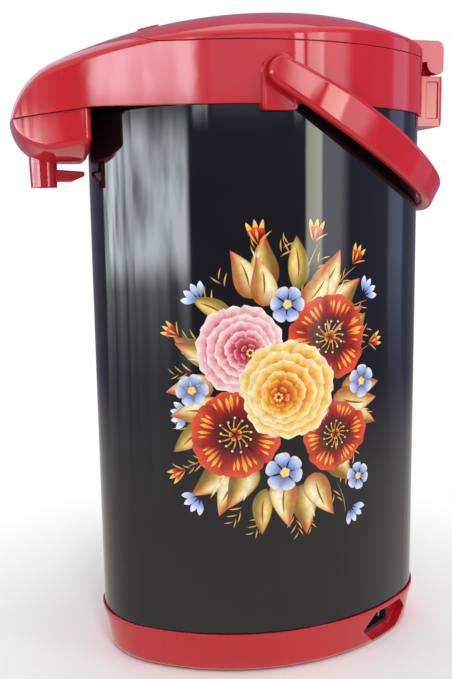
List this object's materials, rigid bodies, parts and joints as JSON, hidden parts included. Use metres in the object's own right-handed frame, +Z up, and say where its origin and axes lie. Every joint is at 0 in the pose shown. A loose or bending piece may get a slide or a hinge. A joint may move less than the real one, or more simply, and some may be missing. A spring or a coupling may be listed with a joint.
{
  "type": "pump pot",
  "caption": "Oval heated pump pot: black shell, red lid, shoulder and base, swinging bail handle, air pump in the hinged lid, spout under a hood.",
  "frame": {"origin": "on the shell's axis, at the bottom of the foot ring", "axes": "+Z up, -Y towards the spout, +Y towards the lid's hinge, +X to the side with the power inlet"},
  "size_m": [0.1738, 0.2826, 0.4125],
  "materials": {
    "red_plastic": "gloss",
    "black_lacquer": "gloss lacquer",
    "pot_steel": "satin",
    "zinc_steel": "plated",
    "black_plastic": "satin",
    "grey_plastic": "satin",
    "rubber": "matt",
    "silicone": "matt",
    "cast_aluminium": "cast",
    "brass": "plain"
  },
  "bodies": {
    "pot": {"outer_shell": "black_lacquer", "base_ring": "red_plastic", "bottom_plate": "zinc_steel", "foot_ring": "rubber", "base_screws": "zinc_steel", "inlet_housing": "black_plastic", "inlet_pins": "brass", "heater_leads": "silicone", "heater_plate": "cast_aluminium", "thermostats": "black_plastic", "inner_pot": "pot_steel", "pot_gasket": "silicone", "outlet_elbow": "silicone", "riser_tube": "pot_steel", "hose_sleeves": "silicone", "spout_pipe": "silicone", "spout_nozzle": "red_plastic", "spout_cover": "red_plastic", "shoulder": "red_plastic", "handle_ear_right": "red_plastic", "handle_ear_left": "red_plastic", "handle_pivot_right": "zinc_steel", "handle_pivot_left": "zinc_steel", "hinge_bracket": "red_plastic", "hinge_pin": "zinc_steel"},
    "handle": {"carry_handle": "red_plastic"},
    "lid": {"lid_shell": "red_plastic", "lid_liner": "grey_plastic", "lid_gasket": "silicone", "liner_screws": "zinc_steel", "bellows": "rubber", "pump_spring": "zinc_steel", "air_valve": "silicone"},
    "pump": {"push_plate": "red_plastic"},
    "catch": {"lid_catch": "red_plastic"},
    "lock": {"pump_lock": "red_plastic"}
  },
  "joints": [
    {"name": "handle_swing", "type": "hinge", "parent": "pot", "child": "handle", "pos_m": [0, -0.0105, 0.366], "axis": [1, 0, 0], "range_deg": [0, 190]},
    {"name": "lid_hinge", "type": "hinge", "parent": "pot", "child": "lid", "pos_m": [0, 0.1194, 0.3835], "axis": [-1, 0, 0], "range_deg": [0, 90]},
    {"name": "pump_press", "type": "slide", "parent": "lid", "child": "pump", "axis": [0, 0, -1], "range_m": [0, 0.017], "stiffness_N_per_m": 500, "springref_m": -0.012, "deforming": ["bellows", "pump_spring"]},
    {"name": "catch_slide", "type": "slide", "parent": "lid", "child": "catch", "axis": [0, 0.9656, 0.26], "range_m": [0, 0.005], "stiffness_N_per_m": 200, "springref_m": -0.004},
    {"name": "lock_slide", "type": "slide", "parent": "lid", "child": "lock", "axis": [1, 0, 0], "range_m": [0, 0.01]}
  ]
}
